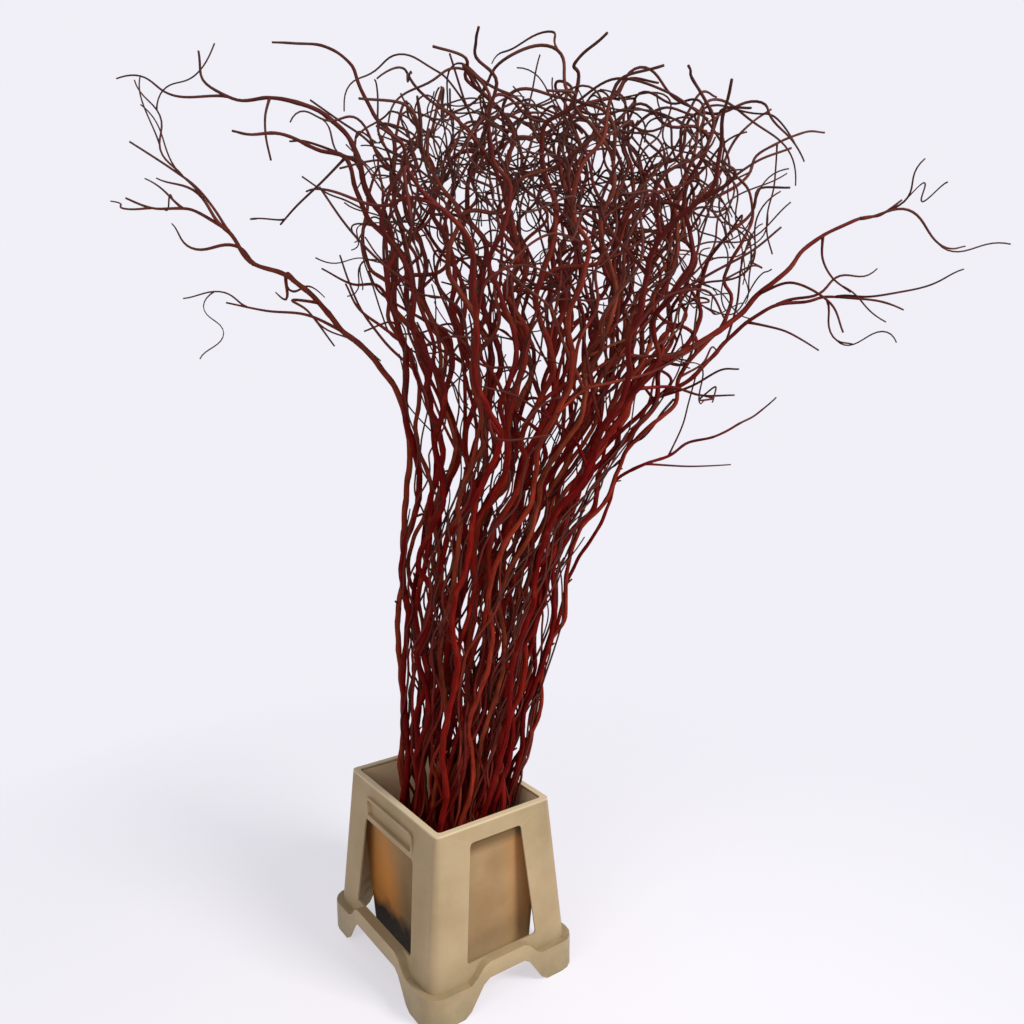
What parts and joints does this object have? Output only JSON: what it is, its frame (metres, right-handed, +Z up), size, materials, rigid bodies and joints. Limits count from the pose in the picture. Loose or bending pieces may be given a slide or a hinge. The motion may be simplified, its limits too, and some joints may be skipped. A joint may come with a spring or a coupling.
{
  "type": "bunch of curly willow branches in a flower container",
  "caption": "Tall leafless bunch of curly willow branches with winding stems, forks and twigs, standing in a cream plastic flower container with windowed sides and corner feet.",
  "frame": {"origin": "on the ground, under the middle of the whole object's bounding box", "axes": "+Z up; X along the container's short side and Y along its long side; the crown leans towards +X and a little towards -Y"},
  "size_m": [1.2084, 1.2463, 1.7903],
  "materials": {
    "container_plastic": "cream moulded plastic, satin, lightly scuffed",
    "willow_bark": "smooth deep red-brown willow bark, darker towards the twigs"
  },
  "bodies": {
    "root": {"container_bucket": "container_plastic", "container_skirt": "container_plastic", "willow_branch_01": "willow_bark", "willow_branch_02": "willow_bark", "willow_branch_03": "willow_bark", "willow_branch_04": "willow_bark", "willow_branch_05": "willow_bark", "willow_branch_06": "willow_bark", "willow_branch_07": "willow_bark", "willow_branch_08": "willow_bark", "willow_branch_09": "willow_bark", "willow_branch_10": "willow_bark", "willow_branch_11": "willow_bark", "willow_branch_12": "willow_bark", "willow_branch_13": "willow_bark", "willow_branch_14": "willow_bark", "willow_branch_15": "willow_bark", "willow_branch_16": "willow_bark", "willow_branch_17": "willow_bark", "willow_branch_18": "willow_bark", "willow_branch_19": "willow_bark", "willow_branch_20": "willow_bark", "willow_branch_21": "willow_bark", "willow_branch_22": "willow_bark", "willow_branch_23": "willow_bark", "willow_branch_24": "willow_bark", "willow_branch_25": "willow_bark", "willow_branch_26": "willow_bark", "willow_branch_27": "willow_bark", "willow_branch_28": "willow_bark", "willow_branch_29": "willow_bark", "willow_branch_30": "willow_bark", "willow_branch_31": "willow_bark", "willow_branch_32": "willow_bark", "willow_branch_33": "willow_bark", "willow_branch_34": "willow_bark", "willow_branch_35": "willow_bark", "willow_branch_36": "willow_bark", "willow_branch_37": "willow_bark", "willow_branch_38": "willow_bark", "willow_branch_39": "willow_bark", "willow_branch_40": "willow_bark", "willow_branch_41": "willow_bark", "willow_branch_42": "willow_bark", "willow_branch_43": "willow_bark", "willow_branch_44": "willow_bark", "willow_branch_45": "willow_bark", "willow_branch_46": "willow_bark", "willow_branch_47": "willow_bark", "willow_branch_48": "willow_bark", "willow_branch_49": "willow_bark", "willow_branch_50": "willow_bark"}
  },
  "joints": []
}
